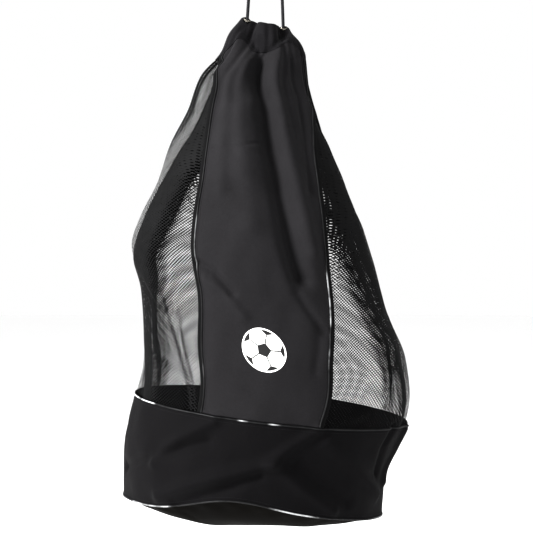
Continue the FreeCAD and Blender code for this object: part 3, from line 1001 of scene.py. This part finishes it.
def pleated(across, level, pleats):
    """Warp cloth into pleats and give its depth and how open its holes are.

    Across minus a steep odd bump doubles the cloth back on itself, each layer lying deeper than the last.
    """
    warped, depth = across.copy(), np.zeros(across.shape)
    edge = ease(np.minimum(across, 1 - across) / 0.03)
    placed = []
    for path in pleats:
        drops, *columns = (np.array(column, float) for column in zip(*path))
        middle, half, strength = (np.interp(level, drops, column) for column in columns)
        placed.append((middle, half, strength, 1))
        if half.max() > 0.02:
            placed.append((1 - middle, half, 0.8 * strength, -1))
    for middle, half, strength, way in placed:
        width = half / 0.67
        off = way * (across - middle) / width
        warped -= way * edge * 3 * strength * width * off * np.exp(-off**2)
        depth -= edge * PLEAT_DEPTH * strength * ease((off + 0.9) / 1.8) * bell(np.clip(off, 0, None), 2.2)
    warped = np.clip(warped, 0, 1)
    shut = np.zeros(across.shape)
    for middle, half, strength, _ in placed:
        shut = np.maximum(shut, strength / (1 + ((warped - middle) / half) ** 6))
    return warped, depth, 1 - shut


class BALLBAG_OT_mesh_panels(bpy.types.Operator):
    """Add the two pleated mesh side panels."""

    bl_idname = "ball_bag.mesh_panels"
    bl_label = "Mesh panels"

    def execute(self, context):
        for panel, pleats in (("left", LEFT_PLEATS), ("right", RIGHT_PLEATS)):
            down, across = grid(240, 380)
            _, level = panel_points(panel, down, across)
            warped, depth, opened = pleated(across, level, pleats)
            angle, drop = panel_points(panel, down, warped)
            drawn_in = ease((0.46 - level) / 0.2)
            streaks = np.sin(2 * np.pi * (31 * across + 0.4 * np.sin(9 * across))) * drawn_in
            opened = opened * (1 - 0.12 * (0.5 + 0.5 * streaks) * drawn_in)
            points = skin(angle, drop, depth - 0.0006 + 0.0012 * streaks * (down > 0.01))
            uv = np.stack([across * MESH_CLOTH[0], down * MESH_CLOTH[1]], -1)
            if panel == "left":
                points, uv, opened = points[:, ::-1], uv[:, ::-1], opened[:, ::-1]
            piece = mesh_piece(f"mesh_{panel}_net", points, uv, finish_named("mesh"))
            add_attribute(piece, "open", opened)
            on_wall(piece, "mesh", "mesh_panel_" + panel)
        return {"FINISHED"}


def edge_line(panel, across, offset, steps=500, out=0.0):
    """Path down a panel's edge, moved sideways round the bag by offset metres and outward by out."""
    down = np.linspace(0, 1, steps)
    angle, drop = panel_points(panel, down, np.full(steps, float(across)), top_gap=0.0)
    angle = angle + np.degrees(offset / reach(angle, drop))
    return angle, drop, skin(angle, drop, out)


UPRIGHT_SEAMS = (
    ("front_left", "front", 0, -1),
    ("front_right", "front", 1, 1),
    ("back_left", "back", 1, 1),
    ("back_right", "back", 0, -1),
)


def painted_piping_highlight(name, at):
    """Painted highlight of the piping along its run: soft-ended spans over a dim painted-shade ground."""
    bright = np.full(len(at), 0.02)
    soft = 2.5 if at[0] < -1 else 0.012
    for start, end, high in PIPING_PAINTED_HIGHLIGHTS[name]:
        bright = np.maximum(bright, high * ease((at - start) / soft) * ease((end - at) / soft))
    return bright


def bead(name, path, radius, at, closed=False):
    """Length of reflective piping with a painted highlight, as its run says at each angle or drop."""
    sizes = np.full((len(path), 1), radius)
    painted_highlight = painted_piping_highlight(name, at)
    return tube_piece("bead_" + name, path, sizes, 13, finish_named("piping"), closed=closed, painted_highlight=painted_highlight)


class BALLBAG_OT_trim(bpy.types.Operator):
    """Add the reflective piping and the seam tape along the panels' edges."""

    bl_idname = "ball_bag.trim"
    bl_label = "Edge trim"

    def execute(self, context):
        sizes = context.scene.ball_bag_sizes
        radius = sizes.piping / 2
        for name, panel, across, way in UPRIGHT_SEAMS:
            _, drop, path = edge_line(panel, across, 0.0, out=radius * 0.5)
            piping = bead(name, path, radius, drop)
            on_wall(piping, "piping", "piping_" + name)

            down, share = grid(500, 7)
            offsets = way * (radius * 0.7 + share * sizes.tape_width)
            angle, drop = panel_points(panel, down, np.full(down.shape, float(across)), top_gap=0.0)
            angle = angle + np.degrees(offsets / reach(angle, drop))
            if way < 0:
                angle, drop, share = angle[:, ::-1], drop[:, ::-1], share[:, ::-1]
            raised = 0.0009 - 0.0004 * (2 * share - 1) ** 4
            uv = np.stack([share * sizes.tape_width, down * PANEL_CLOTH[1]], -1)
            tape = mesh_piece("tape_" + name, skin(angle, drop, raised), uv, finish_named("tape"))
            thicken(tape, 0.0006)
            on_wall(tape, "tape", "seam_tape_" + name)
        return {"FINISHED"}


# ---------------------------------------------------------------- base

class BALLBAG_OT_base_band(bpy.types.Operator):
    """Add the two halves of the solid base band and the piping round its seams."""

    bl_idname = "ball_bag.base_band"
    bl_label = "Base band"

    def execute(self, context):
        sizes = context.scene.ball_bag_sizes
        for half, start in (("front", -180), ("back", 0)):
            down, across = grid(110, 420)
            angle = start + 180 * across
            drop = BAND_DROP + down * (base_edge_drop(angle) - BAND_DROP)
            uv = np.stack([across * BAND_CLOTH[0], down * BAND_CLOTH[1]], -1)
            band = mesh_piece(f"band_{half}_cloth", skin(angle, drop), uv, finish_named("band"))
            thicken(band, sizes.cloth)
            on_body(band, "bag_base", "band_cloth", f"base_band_{half}")
        angle = np.linspace(-180, 180, 1001)
        radius = sizes.piping / 2
        for name, drop, node in (
            ("band", BAND_DROP + radius + 0.0005, "band_piping"),
            ("base", base_edge_drop(angle), "base_piping"),
        ):
            path = skin(angle, drop + 0 * angle, radius * 0.5)
            path[-1] = path[0]
            piping = bead(name, path, radius, angle, closed=True)
            on_body(piping, "bag_base", "piping", node)
        return {"FINISHED"}


class BALLBAG_OT_base_disc(bpy.types.Operator):
    """Add the coated base disc, sagging from the base seam."""

    bl_idname = "ball_bag.base_disc"
    bl_label = "Base disc"

    def execute(self, context):
        sizes = context.scene.ball_bag_sizes
        inward, round_ = grid(100, 420)
        angle = round_ * 360 - 180
        rim = skin(angle, base_edge_drop(angle), -0.0004)
        middle = (wall(0.0, BASE_DROP) + wall(180.0, BASE_DROP)) / 2 - np.array([0, 0, sizes.base_sag])
        share = 1 - inward[..., None]
        flat = middle + (rim - middle) * share
        points = flat.copy()
        points[..., 2] = middle[2] + (rim[..., 2] - middle[2]) * share[..., 0] ** 2.3
        lumps = unevenness(points * np.array([0.6, 0.6, 0.0])) * 0.006 * (1 - share[..., 0] ** 4)
        radial = np.cos(np.radians(angle * 31)) * 0.0011 * bell(inward - 0.04, 0.05)
        points[..., 2] += lumps + radial * (share[..., 0] < 1)
        uv = points[..., :2] - middle[:2]
        disc = mesh_piece("base_disc_cloth", points, uv, finish_named("base"), weld=True)
        thicken(disc, 0.0020)
        on_body(disc, "bag_base", "base_coated", "base_disc")
        return {"FINISHED"}


# ---------------------------------------------------------------- emblem and stitching

def ball_ink(radius, turn):
    """Ink of a plain ball: a disc less a middle pentagon, five rim patches and five seams between them."""
    fifth = np.radians(72)
    local = (turn + fifth / 2) % fifth - fifth / 2
    across, along = radius * np.sin(local), radius * np.cos(local)
    pentagon = radius * np.cos((turn + fifth) % fifth - fifth / 2) < 0.27
    seam = (np.abs(across) < 0.028) & (along > 0.25) & (along < 0.72)
    patch = along - 0.55 * np.abs(across) > 0.72
    bare = pentagon | seam | patch
    return np.where(bare & (radius < 0.93), 0.0, 1.0)


class BALLBAG_OT_emblem(bpy.types.Operator):
    """Add the plain printed ball on the front panel."""

    bl_idname = "ball_bag.emblem"
    bl_label = "Emblem"

    def execute(self, context):
        sizes = context.scene.ball_bag_sizes
        outward, round_ = grid(120, 361)
        turn = -round_ * 2 * np.pi + np.pi / 2
        radius = outward[::-1] * sizes.emblem / 2
        middle_angle, middle_drop = -94.2, 0.674
        drop = middle_drop - radius * np.sin(turn)
        angle = middle_angle + np.degrees(radius * np.cos(turn) / reach(middle_angle, middle_drop))
        points = skin(angle, drop, 0.00035)
        uv = np.stack([radius * np.cos(turn), radius * np.sin(turn)], -1)
        ink = ball_ink(outward[::-1], turn)
        piece = mesh_piece("printed_emblem", points, uv, finish_named("print"))
        add_attribute(piece, "ink", ink)
        on_wall(piece, "print", "emblem_print")
        return {"FINISHED"}


def stitches(name, path, outward, stitch, thread=0.00045):
    """Row of stitches: short bowed threads of four sides, one after another along a path."""
    length = lengths_along(path)
    pitch = stitch * 1.3
    starts = np.arange(pitch / 2, length[-1] - pitch, pitch)
    shares = np.linspace(0, 1, 5)
    at = starts[:, None] + shares[None, :] * stitch
    spine = at_lengths(path, length, at)
    normal = at_lengths(outward, length, at)
    normal /= np.linalg.norm(normal, axis=-1)[..., None]
    along = np.gradient(spine, axis=1)
    along /= np.linalg.norm(along, axis=-1)[..., None]
    side = np.cross(along, normal)
    bow = np.sin(np.pi * shares)[None, :, None]
    spine = spine + normal * (bow * thread * 0.6)
    turn = -np.linspace(0, 2 * np.pi, 5)
    size = thread / 2 * (0.25 + 0.75 * bow[..., None])
    turned = turn[None, None, :, None]
    spoke = np.cos(turned) * normal[:, :, None] + np.sin(turned) * side[:, :, None]
    ring = spine[:, :, None] + size * spoke
    count, rows, columns = ring.shape[:3]
    index = np.arange(count * rows * columns).reshape(count, rows, columns)
    faces = np.stack([index[:, 1:, :-1], index[:, 1:, 1:], index[:, :-1, 1:], index[:, :-1, :-1]], -1)
    faces = faces.reshape(-1, 4)
    uv = np.stack(np.broadcast_arrays(at[:, :, None], turn[None, None, :] * 0.0001), -1)
    return faced_piece(name, ring.reshape(-1, 3), faces, uv.reshape(-1, 2), finish_named("thread"), weld=True)


def outward_at(angle, drop):
    """Direction out of the skin."""
    return skin(angle, drop, 0.001) - skin(angle, drop, 0.0)


class BALLBAG_OT_stitching(bpy.types.Operator):
    """Add the rows of stitches along the seams."""

    bl_idname = "ball_bag.stitching"
    bl_label = "Stitching"

    def execute(self, context):
        stitch = context.scene.ball_bag_sizes.stitch
        for name, panel, across, way in UPRIGHT_SEAMS:
            angle, drop, path = edge_line(panel, across, -way * 0.0042, out=0.0002)
            row = stitches("stitches_" + name, path, outward_at(angle, drop), stitch)
            on_wall(row, "tape")
        angle = np.linspace(-180, 180, 1201)
        for name, drop, body in (
            ("collar_hem", hem_drop(angle) - 0.004, "bag_upper"),
            ("collar_channel", hem_drop(angle) - 0.009, "bag_upper"),
            ("band_top", BAND_DROP + 0.0075 + 0 * angle, "bag_base"),
            ("band_low", base_edge_drop(angle) - 0.006, "bag_base"),
        ):
            over = 0.0003 + (COLLAR_OUT if body == "bag_upper" else 0)
            row = stitches("stitches_" + name, skin(angle, drop, over), outward_at(angle, drop), stitch)
            on_body(row, body, "tape")
        return {"FINISHED"}


class BALLBAG_OT_frame_finishes(bpy.types.Operator):
    """Give the frame's own pieces that stay, inside the collar, their finishes."""

    bl_idname = "ball_bag.frame_finishes"
    bl_label = "Frame finishes"

    def execute(self, context):
        for node, key in (("drawcord_channel_run", "cord"), ("eyelet_washer_left", "eyelet"),
                          ("eyelet_washer_right", "eyelet")):
            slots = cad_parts[node].data.materials
            slots.clear()
            slots.append(finish_named(key))
        return {"FINISHED"}


class BALLBAG_PT_panel(bpy.types.Panel):
    """Sidebar list of the bag's operators."""

    bl_label = "Ball bag"
    bl_idname = "BALLBAG_PT_panel"
    bl_space_type = "VIEW_3D"
    bl_region_type = "UI"
    bl_category = "Ball bag"

    def draw(self, context):
        for operator in OPERATORS:
            self.layout.operator(operator.bl_idname)


OPERATORS = (
    BALLBAG_OT_stage,
    BALLBAG_OT_drawcord,
    BALLBAG_OT_collar,
    BALLBAG_OT_eyelets,
    BALLBAG_OT_solid_panels,
    BALLBAG_OT_mesh_panels,
    BALLBAG_OT_trim,
    BALLBAG_OT_base_band,
    BALLBAG_OT_base_disc,
    BALLBAG_OT_emblem,
    BALLBAG_OT_stitching,
    BALLBAG_OT_frame_finishes,
)
CLASSES = (BallBagSizes, BallBagColours) + OPERATORS + (BALLBAG_PT_panel,)


def register():
    """Register the classes and the scene's settings."""
    for cls in CLASSES:
        bpy.utils.register_class(cls)
    bpy.types.Scene.ball_bag_sizes = bpy.props.PointerProperty(type=BallBagSizes)
    bpy.types.Scene.ball_bag_colours = bpy.props.PointerProperty(type=BallBagColours)


def unregister():
    """Undo register."""
    del bpy.types.Scene.ball_bag_colours
    del bpy.types.Scene.ball_bag_sizes
    for cls in reversed(CLASSES):
        bpy.utils.unregister_class(cls)


def main():
    """Build every piece in order."""
    register()
    for operator in OPERATORS:
        getattr(bpy.ops.ball_bag, operator.bl_idname.split(".")[1])()


if __name__ == "__main__":
    main()
